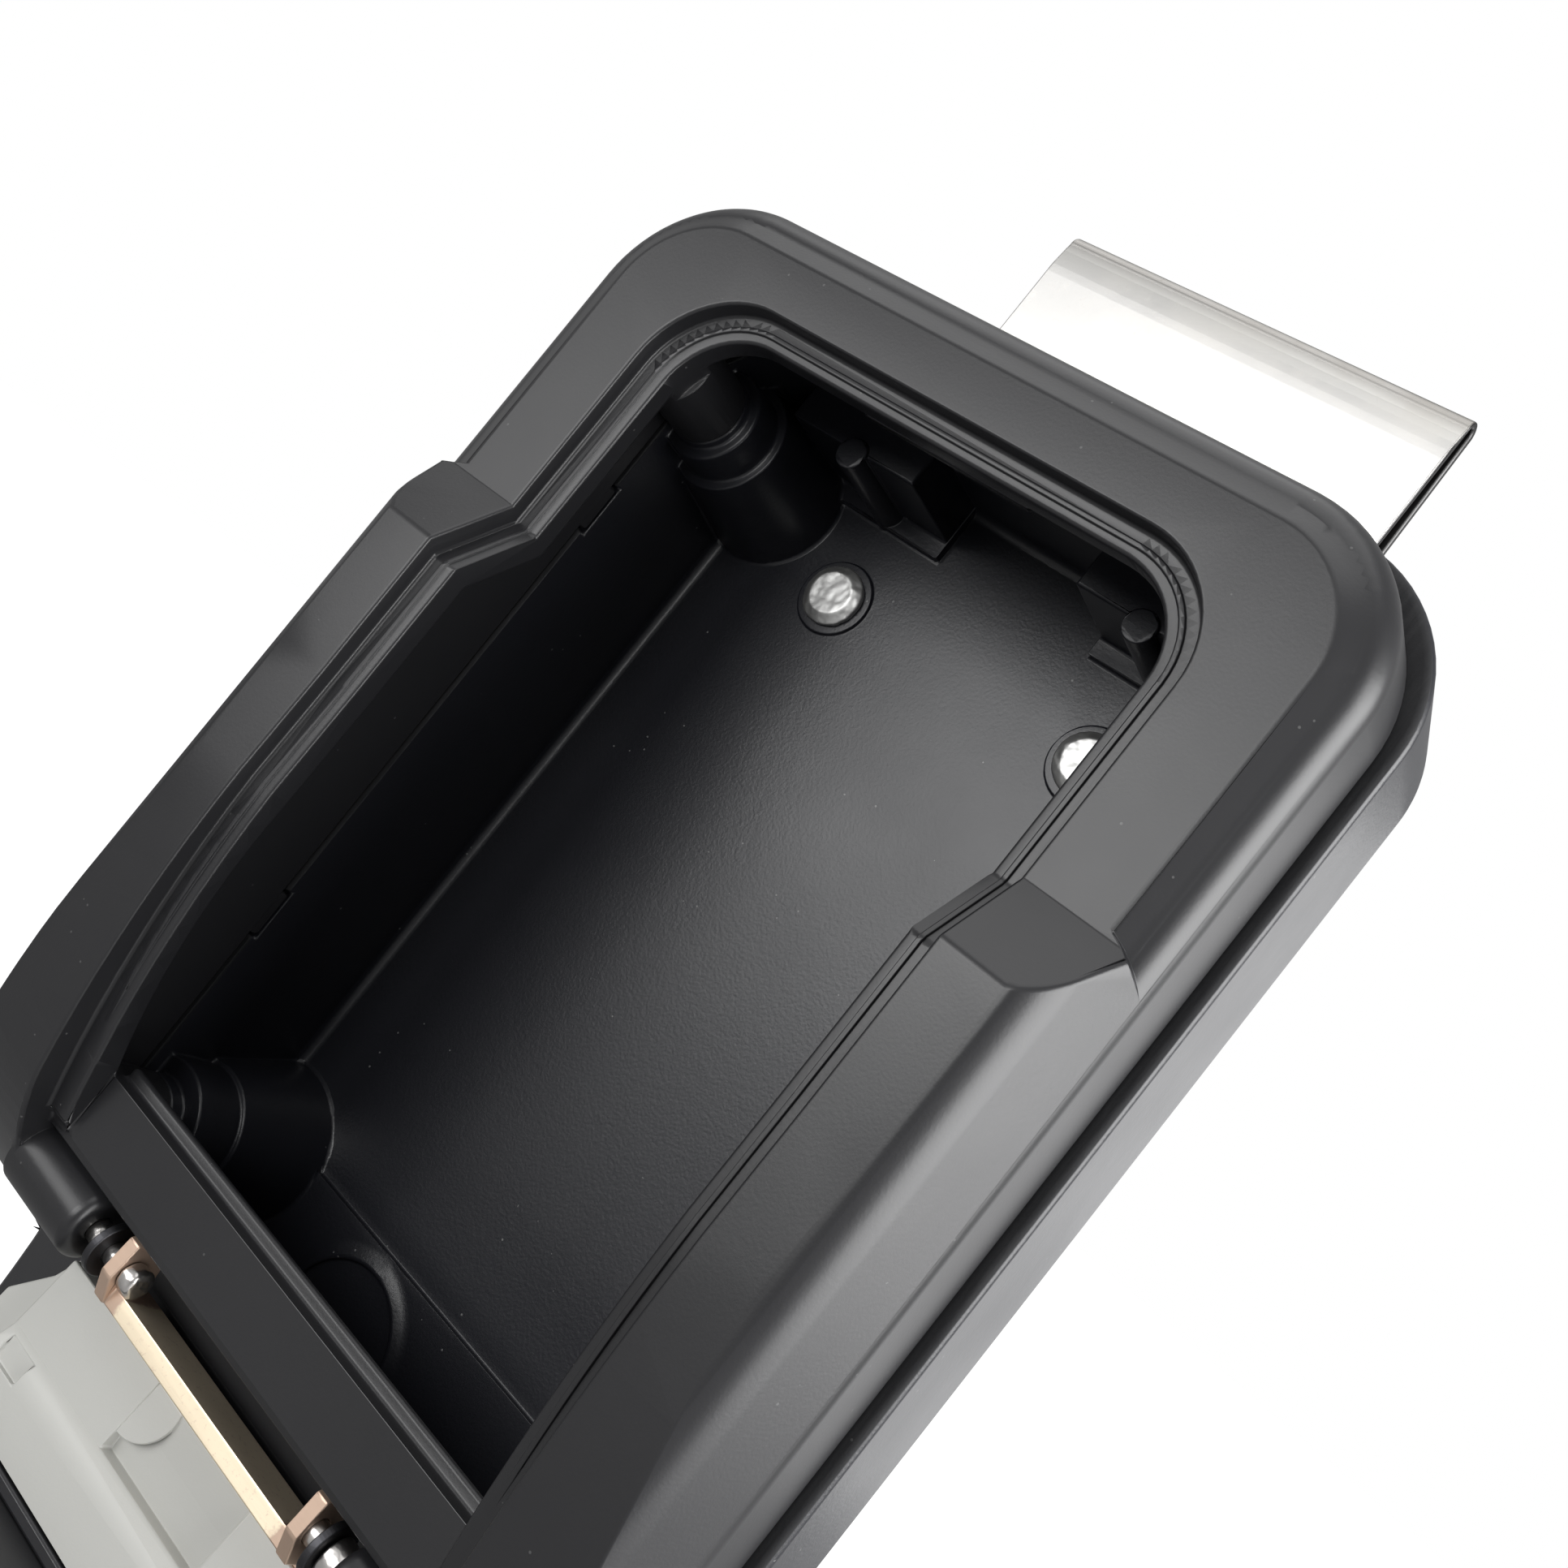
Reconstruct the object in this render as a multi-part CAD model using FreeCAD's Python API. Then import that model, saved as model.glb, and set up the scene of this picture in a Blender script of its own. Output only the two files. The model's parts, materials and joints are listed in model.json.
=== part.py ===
import FreeCAD, Part
import math
import os

# Working axes, in mm: X right, Y from the rim into the box, Z up along the box.
# The working origin is the middle of the opening's top edge on the rim plane.
# Every piece is moved on export so that the origin is the saddle of the hook.
V = FreeCAD.Vector
SADDLE = (0.0, 45.0, 44.3)

# Outline half widths, top and bottom heights, corner radii
RIM_HALF = 38.0
RIM_TOP = 0.0
RIM_CORNER = 12.0
CREASE_HALF = 47.8
CREASE_TOP = 6.6
RING_HALF = 53.0
RING_TOP = 12.1
RING_BOTTOM = -136.0
RING_CORNER = 17.0
RING_Y = 1.2
LIP_HALF = 34.5
LIP_TOP = -3.1
LIP_CORNER = 9.5
LEDGE_HALF = 54.6
LEDGE_TOP = 14.8
LEDGE_BOTTOM = -137.5
LEDGE_CORNER = 17.5
TUB_HALF = 41.5
TUB_TOP = 3.5
TUB_BOTTOM = -133.5
TUB_CORNER = 13.0
CHANNEL_IN = 44.0

# Depths along Y
SEAM = 15.0
LEDGE_Y = 15.6
FLOOR_Y = 39.0
BACK_Y = 43.0
BAR_TOP = -113.0
BAR_FOOT = -122.4
BAR_FACE = 4.2
BAR_BACK = 7.6

# Hinge line and how far the lid stands open in these files
HINGE_Y = 8.0
HINGE_Z = -127.0
OPEN_ANGLE = 172.0
PIN_R = 1.5
EAR_HALF = 19.6
EAR_THICK = 1.8
LUG_R = 4.5
LUG_IN = 25.0

# Corner screw columns
COLUMNS = ((-38.2, -9.0), (38.2, -9.0), (-38.2, -118.9), (38.2, -118.9))
COLUMN_TOP = 16.0
BOSS_R = 5.0
SCREW_R = 1.7

# Hook over the window glass
STEEL = 1.2
HOOK_HALF = 30.3
HOOK_INNER_R = 0.8
HOOK_SPREAD = 0.06
RIVETS_X = (-21.0, 21.0)
RIVETS_Z = -16.0

# Lid
LID_HALF = 37.6
LID_TOP = -0.4
LID_CORNER = 11.6
LID_BOTTOM = -121.5
SHELL = 1.6
SKIRT_HALF = 33.8
SKIRT_Y = 4.6
SKIRT_FOOT = -103.0
PAN_HALF = 28.8
PAN_TOP = -12.0
PAN_BACK = 12.2
PAN_WALL = 1.8
LID_SCREWS = ((-30.3, -50.0), (30.3, -50.0), (-30.3, -97.0), (30.3, -97.0))

# Number dials and the latch they hold
DIAL_Y = 0.6
DIAL_Z = -62.0
DIAL_R = 8.5
DIAL_WIDE = 6.6
DIAL_PITCH = 9.0
DIALS_X = (-13.5, -4.5, 4.5, 13.5)
AXLE_R = 1.9
CAM_R = 6.2
CAM_WIDE = 1.7
LATCH_TRAVEL = 3.4
BOLT_HALF = 6.5
BOLT_Y = 6.7
STRIKE_SCREWS = (-9.3, 9.3)
LEVER_X = 16.0
LEVER_Z = -34.0


# Building blocks
def line(a, b):
    return Part.makeLine(V(*a), V(*b))


def arc(a, b, c):
    return Part.Arc(V(*a), V(*b), V(*c)).toShape()


def rounded_wire(half, top, foot, r_top, r_foot, y, x=0.0):
    """Rounded rectangle in the XZ plane at depth y."""
    d = math.sqrt(0.5)
    left, right = x - half, x + half
    return Part.Wire([
        line((left + r_top, y, top), (right - r_top, y, top)),
        arc((right - r_top, y, top), (right - r_top * (1 - d), y, top - r_top * (1 - d)),
            (right, y, top - r_top)),
        line((right, y, top - r_top), (right, y, foot + r_foot)),
        arc((right, y, foot + r_foot), (right - r_foot * (1 - d), y, foot + r_foot * (1 - d)),
            (right - r_foot, y, foot)),
        line((right - r_foot, y, foot), (left + r_foot, y, foot)),
        arc((left + r_foot, y, foot), (left + r_foot * (1 - d), y, foot + r_foot * (1 - d)),
            (left, y, foot + r_foot)),
        line((left, y, foot + r_foot), (left, y, top - r_top)),
        arc((left, y, top - r_top), (left + r_top * (1 - d), y, top - r_top * (1 - d)),
            (left + r_top, y, top)),
    ])


def slab(half, top, foot, r_top, r_foot, y0, y1, x=0.0):
    """Rounded rectangle from depth y0 to y1."""
    face = Part.Face(rounded_wire(half, top, foot, r_top, r_foot, y0, x))
    return face.extrude(V(0, y1 - y0, 0))


def box(x0, x1, y0, y1, z0, z1):
    return Part.makeBox(x1 - x0, y1 - y0, z1 - z0, V(x0, y0, z0))


def rod_x(x0, x1, r, y=HINGE_Y, z=HINGE_Z):
    return Part.makeCylinder(r, x1 - x0, V(x0, y, z), V(1, 0, 0))


def rod_y(x, z, r, y0, y1):
    return Part.makeCylinder(r, y1 - y0, V(x, y0, z), V(0, 1, 0))


def rod_z(x, y, r, z0, z1):
    return Part.makeCylinder(r, z1 - z0, V(x, y, z0), V(0, 0, 1))


def cone_y(x, z, r0, r1, y0, y1):
    return Part.makeCone(r0, r1, y1 - y0, V(x, y0, z), V(0, 1, 0))


def outline(points, place):
    """Face inside a closed line; a pair of points is an arc's middle and end."""
    here = points[0]
    edges = []
    for step in points[1:] + points[:1]:
        if isinstance(step[0], tuple):
            edges.append(arc(place(here), place(step[0]), place(step[1])))
            here = step[1]
        else:
            edges.append(line(place(here), place(step)))
            here = step
    return Part.Face(Part.Wire(edges))


def side_prism(points, x0, x1):
    """Outline in the YZ plane drawn out along X."""
    return outline(points, lambda p: (x0,) + p).extrude(V(x1 - x0, 0, 0))


def plan_prism(points, y0, y1):
    """Outline of (x, z) points drawn out along Y."""
    return outline(points, lambda p: (p[0], y0, p[1])).extrude(V(0, y1 - y0, 0))


def end_prism(points, z0, z1):
    """Outline of (x, y) points drawn out along Z."""
    return outline(points, lambda p: (p[0], p[1], z0)).extrude(V(0, 0, z1 - z0))


def fuse(shapes):
    return shapes[0].multiFuse(shapes[1:]).removeSplitter()


def both_sides(shape):
    return [shape, shape.mirror(V(0, 0, 0), V(1, 0, 0))]


def edges_near(shape, test):
    """Edges whose whole bounding box passes the test."""
    return [e for e in shape.Edges if test(e.BoundBox)]


def save(shape, name, body="case"):
    """Opens the lid's pieces, moves the origin to the saddle and writes the file."""
    placed = shape.removeSplitter()
    if body == "lid":
        placed.rotate(V(0, HINGE_Y, HINGE_Z), V(1, 0, 0), OPEN_ANGLE)
    placed.translate(V(-SADDLE[0], -SADDLE[1], -SADDLE[2]))
    placed.exportStep("parts/" + name + ".step")


# Front profile of the case and lid: flat upper half, ramp, raised lower half, rolled foot
def profile(offset, back, foot_arc=True):
    """Points (y, z) from the top down, set back by offset from the outer face."""
    o = offset
    points = [(back, 40.0), (o, 40.0), (o, -34.4 - 0.5 * o), (-6.9 + o, -43.2 - 0.5 * o),
              (-6.85 + o, -62.0), (-7.1 + o, -76.0), ((-5.55 + o, -97.5), (-1.8 + o, -117.0))]
    if foot_arc:
        points += [((4.2 + 0.8 * o, -127.6 + 0.6 * o), (15.0, -135.6 + o)), (15.0, -136.5), (back, -136.5)]
    return points


def shelf_points(rise):
    """The recess floor the lid sits over, and its underside when rise is the lip's thickness."""
    return [(2.4 + rise, -35.6 - 0.4 * rise), (-4.5 + rise, -44.4 - 0.4 * rise), (-4.5 + rise, -62.0),
            (-4.7 + rise, -76.0), ((-2.4 + rise, -98.5), (3.0 + rise, -120.4))]


TROUGH_OUT = [(8.2, BAR_FOOT), (10.5, -123.0), (14.0, -127.0), (17.5, -131.0)]
TROUGH_IN = [(9.5, -119.6), (11.8, -121.4), (15.6, -125.8), (19.5, -130.2)]


# Front ring of the case
def front_body():
    ring = slab(RING_HALF, RING_TOP, RING_BOTTOM, RING_CORNER, RING_CORNER, RING_Y, SEAM)
    ring = ring.makeFillet(4.0, edges_near(ring, lambda b: b.YMax < RING_Y + 0.01))
    rear = edges_near(ring, lambda b: b.YMin > SEAM - 0.01)
    ring = ring.makeChamfer(0.7, rear)
    upper = Part.makeLoft([
        rounded_wire(51.0, 9.8, -133.7, 14.6, 14.6, 1.9),
        rounded_wire(CREASE_HALF, CREASE_TOP, -130.5, 11.4, 11.4, 0.0)], True)
    flat = slab(CREASE_HALF, CREASE_TOP, -130.5, 11.4, 11.4, -0.5, 0.0)
    raised = end_prism([(-52.6, 8.0), (-52.6, 3.5), (-49.57, -3.28), ((-47.03, -6.21), (-43.3, -7.3)), (43.3, -7.3),
                        ((47.03, -6.21), (49.57, -3.28)), (52.6, 3.5), (52.6, 8.0)], -140.0, -33.5)
    raised = raised.common(slab(RING_HALF, RING_TOP, RING_BOTTOM, RING_CORNER, RING_CORNER, -8.0, 8.5))
    raised = raised.common(plan_prism([(-47.9, -20.0), (-47.9, -33.6), ((-49.9, -34.5), (-53.1, -37.5)), (-53.1, -150.0),
                                       (53.1, -150.0), (53.1, -37.5), ((49.9, -34.5), (47.9, -33.6)), (47.9, -20.0)],
                                      -9.0, 9.0))
    whole = fuse([ring, upper, flat, raised])
    return whole.common(side_prism(profile(0.0, 40.0), -60.0, 60.0))


def hinge_notch():
    """The room in front of the bar's foot and round the hinge."""
    notch = [(-20.0, -120.3), (3.0, -120.3), (BAR_FACE, -120.9), (BAR_FACE + 0.5, BAR_FOOT)] + TROUGH_OUT
    return side_prism(notch + [(17.5, -150.0), (-20.0, -150.0)], -RIM_HALF, RIM_HALF)


def front_housing():
    body = front_body()
    face = [(-20.0, 20.0), (2.4, 20.0)] + shelf_points(0.0) + [(-20.0, -120.4)]
    recess = side_prism(face, -RIM_HALF, RIM_HALF)
    body = body.cut(recess.common(slab(RIM_HALF, RIM_TOP, -150.0, RIM_CORNER, 1.0, -20.0, 10.0)))
    body = body.cut(hinge_notch())
    opening = slab(LIP_HALF, LIP_TOP, BAR_TOP, LIP_CORNER, 0.5, -12.0, SEAM + 1)
    under = [(SEAM + 20, 20.0), (5.4, 20.0)] + shelf_points(3.0)[:4] + [((-0.2, -97.0), (4.6, BAR_TOP)),
             (BAR_BACK, BAR_TOP), (BAR_BACK, TROUGH_IN[0][1])] + TROUGH_IN + [(19.5, -150.0), (SEAM + 20, -150.0)]
    hollow = slab(TUB_HALF, TUB_TOP, TUB_BOTTOM + 0.2, TUB_CORNER, 12.0, -10.0, SEAM + 1)
    body = body.cut(hollow.common(side_prism(under, -60.0, 60.0)))
    body = body.cut(opening)
    body = body.cut(plan_prism([(-LIP_HALF, BAR_TOP + 1), (LIP_HALF, BAR_TOP + 1), (LIP_HALF, -120.8),
                                (LIP_HALF - 1.5, -122.6), (1.5 - LIP_HALF, -122.6),
                                (-LIP_HALF, -120.8)], -12.0, BAR_FACE))
    for x in STRIKE_SCREWS:
        body = body.cut(rod_y(x, -0.2, 1.0, 3.5, 5.5))
    channel = slab(50.2, 9.3, -140.0, 14.2, 1.0, 6.5, SEAM + 1)
    channel = channel.cut(slab(CHANNEL_IN, 6.0, -150.0, 14.0, 1.0, 6.0, SEAM + 2))
    channel = channel.cut(box(-60, 60, 0, 20, -150, -112))
    body = body.cut(channel)
    return body


def front_details():
    """Bosses, the trough wall behind the hinge, lugs and seam tabs."""
    added = []
    inside = slab(LIP_HALF, LIP_TOP, BAR_TOP, LIP_CORNER, 0.5, -12.0, 6.5)
    within = slab(TUB_HALF - 0.3, TUB_TOP - 0.3, TUB_BOTTOM + 0.3, 12.7, 12.7, SEAM - 1, COLUMN_TOP + 1)
    for x, z in COLUMNS:
        post = rod_y(x, z, BOSS_R, 5.0, SEAM).cut(hinge_notch())
        added.append(post.fuse(rod_y(x, z, BOSS_R, SEAM - 0.5, COLUMN_TOP).common(within)).cut(inside))
    wall = TROUGH_OUT + [(17.5, TUB_BOTTOM + 0.1), (19.5, TUB_BOTTOM + 0.1)] + TROUGH_IN[::-1]
    wall = side_prism(wall, -TUB_HALF + 0.3, TUB_HALF - 0.3)
    added.append(wall.common(box(-60.0, 60.0, 0.0, SEAM, -150.0, 0.0)))
    added.append(wall.common(slab(TUB_HALF - 0.3, -100.0, TUB_BOTTOM + 0.2, 1.0, 13.2, SEAM - 0.01, 25.0)))
    for side in (-1, 1):
        lug = rod_x(LUG_IN, RIM_HALF + 1.0, LUG_R)
        lug = lug.makeFillet(1.4, edges_near(lug, lambda b: b.XMax < LUG_IN + 0.01))
        lug = lug.cut(rod_x(LUG_IN - 1, 32.0, PIN_R))
        if side < 0:
            lug = lug.mirror(V(0, 0, 0), V(1, 0, 0))
        added.append(lug)
    for z in (-27.0, -91.0):
        added += both_sides(box(TUB_HALF + 0.2, 43.8, SEAM - 0.5, SEAM + 1.5, z - 3.2, z + 3.2))
    return added


def rim_bead():
    """Fine raised line all round the recess floor."""
    band = [(2.1, 20.0)] + [(2.1, -35.5)] + [(-4.8, -44.3), (-4.8, -62.0), (-5.0, -76.0), ((-2.7, -98.5), (1.4, -114.0)),
            (2.4, -114.0), ((-1.6, -98.5), (-4.3, -76.0)), (-4.3, -62.0), (-4.3, -44.5), (2.6, -35.7), (2.6, 20.0)]
    ring = slab(36.3, -1.4, -150.0, 10.6, 1.0, -20.0, 20.0).cut(slab(35.7, -2.0, -151.0, 10.1, 1.0, -21.0, 21.0))
    return side_prism(band, -60.0, 60.0).common(ring)


def make_front_housing():
    body = fuse([front_housing()] + front_details() + [rim_bead()])
    body = body.fuse(box(-LIP_HALF, LIP_HALF, 6.2, 7.4, BAR_TOP - 0.1, BAR_TOP + 1.6))
    for x, z in COLUMNS:
        body = body.cut(rod_y(x, z, SCREW_R - 0.3, 7.5, COLUMN_TOP + 1))
    save(body, "front_housing")


# Cast rear of the case
def tub_shell():
    outer = Part.makeLoft([
        rounded_wire(LEDGE_HALF, LEDGE_TOP, LEDGE_BOTTOM, LEDGE_CORNER, LEDGE_CORNER, LEDGE_Y),
        rounded_wire(52.9, 13.1, -135.8, 15.8, 15.8, BACK_Y)], True)
    outer = outer.makeFillet(7.0, edges_near(outer, lambda b: b.YMin > BACK_Y - 0.01))
    outer = outer.makeFillet(1.1, edges_near(outer, lambda b: b.YMax < LEDGE_Y + 0.01))
    tub = slab(TUB_HALF, TUB_TOP, TUB_BOTTOM, TUB_CORNER, 13.0, LEDGE_Y - 1, FLOOR_Y)
    tub = tub.makeFillet(1.5, edges_near(tub, lambda b: b.YMin > FLOOR_Y - 0.01))
    channel = slab(52.0, 12.2, -140.0, 16.0, 1.0, LEDGE_Y - 1, 35.0)
    channel = channel.cut(slab(CHANNEL_IN, 6.0, -150.0, 14.0, 1.0, LEDGE_Y - 2, 36.0))
    channel = channel.cut(box(-60, 60, 0, 50, -150, -116))
    return outer.cut(tub).cut(channel)


def column(x, z):
    """Stepped cone half sunk in the side wall, with a web to the nearer end wall."""
    upper = z > -60
    tops = (17.2, 22.4) if upper else (18.0, 25.0)
    radii = (6.4, 7.75, 9.8) if upper else (7.6, 8.4, 11.35)
    parts = [rod_y(x, z, BOSS_R, COLUMN_TOP, tops[0]), cone_y(x, z, radii[0], radii[0] + 0.2, tops[0], tops[1]),
             cone_y(x, z, radii[1], radii[2], tops[1], FLOOR_Y + 0.5)]
    wall_z = z + (14.0 if upper else -17.0)
    parts.append(box(x - 0.9, x + 0.9, tops[1] + 0.6, FLOOR_Y + 0.5, min(z, wall_z), max(z, wall_z)))
    return parts


def make_back_housing():
    body = tub_shell()
    limits = slab(TUB_HALF + 1.0, TUB_TOP + 1.0, TUB_BOTTOM - 1.0, TUB_CORNER, 13.0, COLUMN_TOP, FLOOR_Y + 2)
    posts = [p.common(limits) for x, z in COLUMNS for p in column(x, z)]
    floor = [box(-42.5, 42.5, FLOOR_Y - 0.8, FLOOR_Y + 0.5, -134.5, -115.7),
             cone_y(-10.8, -127.2, 9.4, 11.6, FLOOR_Y - 1.5, FLOOR_Y - 0.7).cut(rod_y(-10.8, -127.2, 8.75, 30.0, 50.0)),
             box(-33.0, -12.5, 23.0, FLOOR_Y + 0.5, -2.3, 4.5), box(12.5, 33.0, 23.0, FLOOR_Y + 0.5, -2.3, 4.5),
             box(-32.0, -12.3, FLOOR_Y - 1.2, FLOOR_Y + 0.5, -4.8, 4.5), box(12.3, 32.0, FLOOR_Y - 1.2, FLOOR_Y + 0.5, -4.8, 4.5),
             rod_y(-22.0, -2.8, 2.1, 22.6, FLOOR_Y + 0.5), rod_y(22.0, -2.8, 2.1, 22.6, FLOOR_Y + 0.5)]
    pads = [rod_y(x, RIVETS_Z, 5.2, FLOOR_Y - 0.5, FLOOR_Y + 0.5) for x in RIVETS_X]
    body = fuse([body] + posts + [piece.common(limits) for piece in floor] + pads)
    for x, z in COLUMNS:
        body = body.cut(rod_y(x, z, SCREW_R, COLUMN_TOP - 1, BACK_Y + 1))
        body = body.cut(rod_y(x, z, 3.6, BACK_Y - 4.0, BACK_Y + 1))
    for x in RIVETS_X:
        body = body.cut(rod_y(x, RIVETS_Z, 2.5, FLOOR_Y - 2, BACK_Y + 1))
    body = body.cut(box(-RIM_HALF - 0.3, RIM_HALF + 0.3, 10.0, 17.5, -150.0, -133.4))
    for z in (-27.0, -91.0):
        for tab in both_sides(box(TUB_HALF - 0.5, CHANNEL_IN + 0.5, 14.0, SEAM + 1.7, z - 3.5, z + 3.5)):
            body = body.cut(tab)
    save(body, "back_housing")


def make_seam_seal():
    ring = slab(52.2, 11.5, -135.0, 16.2, 16.2, SEAM, LEDGE_Y).cut(slab(50.6, 9.9, -133.4, 14.6, 14.6, 0.0, 20.0))
    save(ring.cut(box(-42.0, 42.0, 0.0, 20.0, -150.0, -120.0)), "seam_seal")


def make_case_screws():
    screws = []
    for x, z in COLUMNS:
        shank = rod_y(x, z, SCREW_R - 0.3, 8.5, BACK_Y - 4.0)
        head = cone_y(x, z, 1.4, 3.3, BACK_Y - 4.0, BACK_Y - 2.6).fuse(rod_y(x, z, 3.3, BACK_Y - 2.6, BACK_Y - 1.4))
        socket = rod_y(x, z, 1.2, BACK_Y - 2.8, BACK_Y)
        screws.append(shank.fuse(head).cut(socket))
    save(Part.makeCompound(screws), "case_screws")


# Folded steel hook and what fixes it
def make_window_hook():
    top = SADDLE[2] - HOOK_INNER_R
    inner = HOOK_INNER_R
    outer = inner + STEEL
    mid = BACK_Y + STEEL + inner
    foot = -20.0
    run = top - foot
    lean = HOOK_SPREAD * run
    points = [(BACK_Y, -26.0), (BACK_Y + STEEL, -26.0), (BACK_Y + STEEL, top),
              ((mid, top + inner), (mid + inner, top)),
              (mid + inner + lean, foot), (mid + inner + lean + 3.4, foot - 6.0),
              (mid + inner + lean + 3.4 + STEEL, foot - 5.6), (mid + outer + lean, foot + 0.5),
              (mid + outer, top), ((mid + 0.2, top + 1.8), (BACK_Y + 0.55, top - 0.1)),
              ((BACK_Y + 0.14, top - 2.55), (BACK_Y, top - 5.0))]
    hook = side_prism(points, -HOOK_HALF, HOOK_HALF)
    for x in RIVETS_X:
        hook = hook.cut(rod_y(x, RIVETS_Z, 2.5, BACK_Y - 1, BACK_Y + STEEL + 0.3))
    save(hook, "window_hook")


def make_hook_rivets():
    rivets = []
    for x in RIVETS_X:
        shank = rod_y(x, RIVETS_Z, 2.5, FLOOR_Y - 0.5, BACK_Y + STEEL)
        inside = cone_y(x, RIVETS_Z, 3.0, 4.2, FLOOR_Y - 2.0, FLOOR_Y - 1.2).fuse(
            rod_y(x, RIVETS_Z, 4.2, FLOOR_Y - 1.2, FLOOR_Y - 0.5))
        rear = rod_y(x, RIVETS_Z, 4.0, BACK_Y + STEEL, BACK_Y + STEEL + 0.8)
        rivets.append(fuse([shank, inside, rear]))
    save(Part.makeCompound(rivets), "hook_rivets")


def make_back_pad():
    pad = slab(30.0, -34.0, -104.0, 6.0, 6.0, BACK_Y, BACK_Y + 1.5)
    for z in (-52.0, -69.0, -86.0):
        pad = pad.cut(slab(24.0, z + 2.0, z - 2.0, 1.9, 1.9, BACK_Y + 0.7, BACK_Y + 3))
    save(pad, "back_pad")


def make_strike():
    plate = slab(12.0, 2.6, LIP_TOP, 1.0, 0.6, 5.4, 6.4)
    for x in STRIKE_SCREWS:
        plate = plate.cut(rod_y(x, -0.2, 1.0, 5.0, 7.0))
    save(plate, "latch_strike")
    screws = []
    for x in STRIKE_SCREWS:
        shank = rod_y(x, -0.2, 1.0, 3.6, 6.4)
        head = rod_y(x, -0.2, 1.7, 6.4, 7.3).cut(box(x - 2, x + 2, 6.9, 8.0, -0.5, 0.1))
        screws.append(shank.fuse(head))
    save(Part.makeCompound(screws), "strike_screws")


# Hinge pins and washers
def make_hinge_pins():
    left = rod_x(-32.0, -15.4, PIN_R).fuse(rod_x(-17.6, -15.4, 1.9))
    left = left.makeFillet(0.8, edges_near(left, lambda b: b.XMin > -15.41 and b.YLength > 3.5))
    right = rod_x(17.4, 32.0, PIN_R).fuse(rod_x(22.6, 24.8, 2.3))
    save(Part.makeCompound([left, right]), "hinge_pins")
    washer = rod_x(21.4, 22.4, 3.4).cut(rod_x(20.0, 24.0, PIN_R))
    save(Part.makeCompound(both_sides(washer)), "pin_washers")


# Lid shell
def lid_band(offset, thick):
    """Sheet that follows the front profile, set back by offset."""
    front = profile(offset, 0.0, False)[1:]
    back = profile(offset + thick, 0.0, False)[1:]
    foot_front = (front[-1][1][0] + 1.62, LID_BOTTOM - 1)
    foot_back = (back[-1][1][0] + 1.62, LID_BOTTOM - 1)
    points = front + [foot_front, foot_back, back[-1][1], (back[-1][0], back[-2])] + back[-3::-1]
    return side_prism(points, -60.0, 60.0)


def behind(offset):
    """Everything behind the front profile set back by offset."""
    front = profile(offset, 0.0, False)[1:]
    return side_prism([(60.0, 40.0)] + front + [(front[-1][1][0] + 1.62, LID_BOTTOM - 1), (60.0, LID_BOTTOM - 1)],
                      -60.0, 60.0)


def dial_windows(grow, y0, y1):
    return [box(x - DIAL_WIDE / 2 - grow, x + DIAL_WIDE / 2 + grow, y0, y1, DIAL_Z - 6.4 - grow, DIAL_Z + 6.4 + grow)
            for x in DIALS_X]


def make_lid_shell():
    plate = lid_band(0.0, SHELL).common(slab(LID_HALF, LID_TOP, LID_BOTTOM, LID_CORNER, 1.0, -12.0, 10.0))
    skirt = slab(SKIRT_HALF, -4.0, SKIRT_FOOT, 9.0, 1.0, -12.0, SKIRT_Y)
    skirt = skirt.cut(slab(SKIRT_HALF - 1.6, -5.6, SKIRT_FOOT + 1.6, 7.6, 1.0, -13.0, SKIRT_Y + 1)).common(behind(1.0))
    parts = [plate, skirt]
    room = behind(1.0)
    for x, z in LID_SCREWS:
        parts.append(rod_y(x, z, 2.4, -9.0, 3.0).common(room))
    for side in both_sides(box(20.0, 22.4, -9.0, 4.4, DIAL_Z - 4.0, DIAL_Z + 4.0)):
        parts.append(side.common(room))
    for side in both_sides(box(23.6, 27.6, -9.0, DIAL_Y, -70.0, -60.0)):
        parts.append(side.common(room))
    for side in both_sides(rod_z(24.9, DIAL_Y, 3.6, -70.0, -60.0)):
        parts.append(side)
    shell = fuse(parts)
    for x, z in LID_SCREWS:
        shell = shell.cut(rod_y(x, z, 1.1, -4.0, 4.0))
    shell = shell.cut(rod_x(-23.0, 23.0, AXLE_R, DIAL_Y, DIAL_Z))
    for side in both_sides(rod_z(24.9, DIAL_Y, 2.6, -68.0, -59.0)):
        shell = shell.cut(side)
    shell = shell.cut(slab(19.3, DIAL_Z + 8.2, DIAL_Z - 8.2, 1.5, 1.5, -12.0, -4.0))
    shell = shell.cut(slab(9.6, -12.2, -31.0, 2.0, 2.0, -3.0, 3.0))
    for x in (-14.0, 0.0, 14.0):
        shell = shell.cut(rod_y(x, -109.0, 1.3, -8.0, 2.0).cut(rod_y(x, -109.0, 1.3, -8.0, -3.2)))
    save(shell, "lid_shell", "lid")


def make_dial_bezel():
    frame = slab(19.3, DIAL_Z + 8.2, DIAL_Z - 8.2, 1.5, 1.5, -7.6, -5.95)
    rim = slab(20.6, DIAL_Z + 9.5, DIAL_Z - 9.5, 2.6, 2.6, -7.7, -7.02)
    frame = frame.fuse(rim)
    for window in dial_windows(0.35, -9.0, -4.0):
        frame = frame.cut(window)
    mark = [box(x - 0.35, x + 0.35, -8.0, -7.4, DIAL_Z + 7.2, DIAL_Z + 9.0) for x in DIALS_X]
    for groove in mark:
        frame = frame.cut(groove)
    save(frame, "dial_bezel", "lid")


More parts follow.
